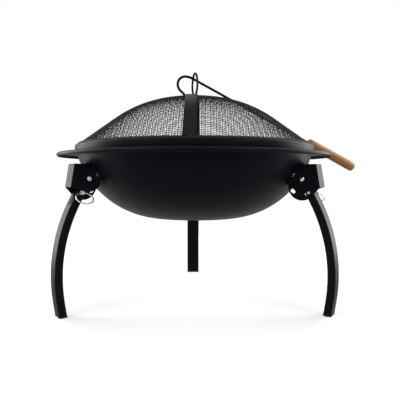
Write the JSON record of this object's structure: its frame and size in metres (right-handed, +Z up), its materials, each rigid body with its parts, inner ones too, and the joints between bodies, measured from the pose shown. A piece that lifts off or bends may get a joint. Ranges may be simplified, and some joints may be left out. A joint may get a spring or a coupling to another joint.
{
  "type": "folding fire pit",
  "caption": "Pressed steel fire bowl on curved legs that fold under it behind lock pins, with a domed wire-mesh spark lid and a hooked poker with a wooden grip",
  "frame": {"origin": "Centre of the bowl's flat base, on its underside and on the bowl's axis; the floor is 170.5 mm below it", "axes": "+Z is up, out of the bowl's mouth; -Z is the base face's outward normal; +X is the way that the poker points, with its grip 18 degrees towards +Y; the back leg lies on +Y"},
  "size_m": [0.6605, 0.5808, 0.4744],
  "materials": {
    "black_coat": "satin black heat-proof coat",
    "mesh_wire": "matt black coat on woven wire",
    "bright_zinc": "bright zinc plate",
    "black_plastic": "fine moulded grain",
    "grip_wood": "turned and clear varnished"
  },
  "bodies": {
    "stand": {"fire_bowl": "black_coat", "bracket_rivets": "black_coat", "bracket_back": "black_coat", "pivot_bolt_back": "bright_zinc", "pivot_nut_back": "bright_zinc", "bracket_left": "black_coat", "pivot_bolt_left": "bright_zinc", "pivot_nut_left": "bright_zinc", "bracket_right": "black_coat", "pivot_bolt_right": "bright_zinc", "pivot_nut_right": "bright_zinc"},
    "back_leg": {"leg_back": "black_coat", "foot_plug_back": "black_plastic"},
    "back_pin": {"lock_pin_back": "bright_zinc"},
    "back_ring": {"pull_ring_back": "bright_zinc"},
    "left_leg": {"leg_left": "black_coat", "foot_plug_left": "black_plastic"},
    "left_pin": {"lock_pin_left": "bright_zinc"},
    "left_ring": {"pull_ring_left": "bright_zinc"},
    "right_leg": {"leg_right": "black_coat", "foot_plug_right": "black_plastic"},
    "right_pin": {"lock_pin_right": "bright_zinc"},
    "right_ring": {"pull_ring_right": "bright_zinc"},
    "lid": {"lid_band": "black_coat", "spark_mesh": "mesh_wire", "cross_strap": "black_coat", "long_strap": "black_coat", "lid_handle": "black_coat"},
    "poker": {"poker_rod": "black_coat", "poker_grip": "grip_wood"}
  },
  "joints": [
    {"name": "back_leg_fold", "type": "hinge", "parent": "stand", "child": "back_leg", "pos_m": [0, 0.23699, 0.0825], "axis": [-1, 0, 0], "range_deg": [0, 65]},
    {"name": "back_pin_pull", "type": "slide", "parent": "back_leg", "child": "back_pin", "axis": [-1, 0, 0], "range_m": [0, 0.03]},
    {"name": "back_ring_swing", "type": "hinge", "parent": "back_pin", "child": "back_ring", "pos_m": [-0.021, 0.25002, 0.05693], "axis": [0, 1, 0], "range_deg": [-52, 50]},
    {"name": "left_leg_fold", "type": "hinge", "parent": "stand", "child": "left_leg", "pos_m": [-0.20524, -0.1185, 0.0825], "axis": [0.5, -0.866, 0], "range_deg": [0, 65]},
    {"name": "left_pin_pull", "type": "slide", "parent": "left_leg", "child": "left_pin", "axis": [0.5, -0.866, 0], "range_m": [0, 0.03]},
    {"name": "left_ring_swing", "type": "hinge", "parent": "left_pin", "child": "left_ring", "pos_m": [-0.20603, -0.1432, 0.05693], "axis": [-0.866, -0.5, 0], "range_deg": [-52, 50]},
    {"name": "right_leg_fold", "type": "hinge", "parent": "stand", "child": "right_leg", "pos_m": [0.20524, -0.1185, 0.0825], "axis": [0.5, 0.866, 0], "range_deg": [0, 65]},
    {"name": "right_pin_pull", "type": "slide", "parent": "right_leg", "child": "right_pin", "axis": [0.5, 0.866, 0], "range_m": [0, 0.03]},
    {"name": "right_ring_swing", "type": "hinge", "parent": "right_pin", "child": "right_ring", "pos_m": [0.22703, -0.10683, 0.05693], "axis": [0.866, -0.5, 0], "range_deg": [-52, 50]},
    {"name": "lid_lift", "type": "slide", "parent": "stand", "child": "lid", "axis": [0, 0, 1], "range_m": [0, 0.25]},
    {"name": "poker_slide", "type": "slide", "parent": "lid", "child": "poker", "axis": [-0.8661, -0.2814, 0.4131], "range_m": [0, 0.06]}
  ],
  "couplings": [
    {"joint": "back_pin_pull", "follows": "back_leg_fold", "m_per_rad": 0.026444},
    {"joint": "left_pin_pull", "follows": "left_leg_fold", "m_per_rad": 0.026444},
    {"joint": "right_pin_pull", "follows": "right_leg_fold", "m_per_rad": 0.026444}
  ]
}
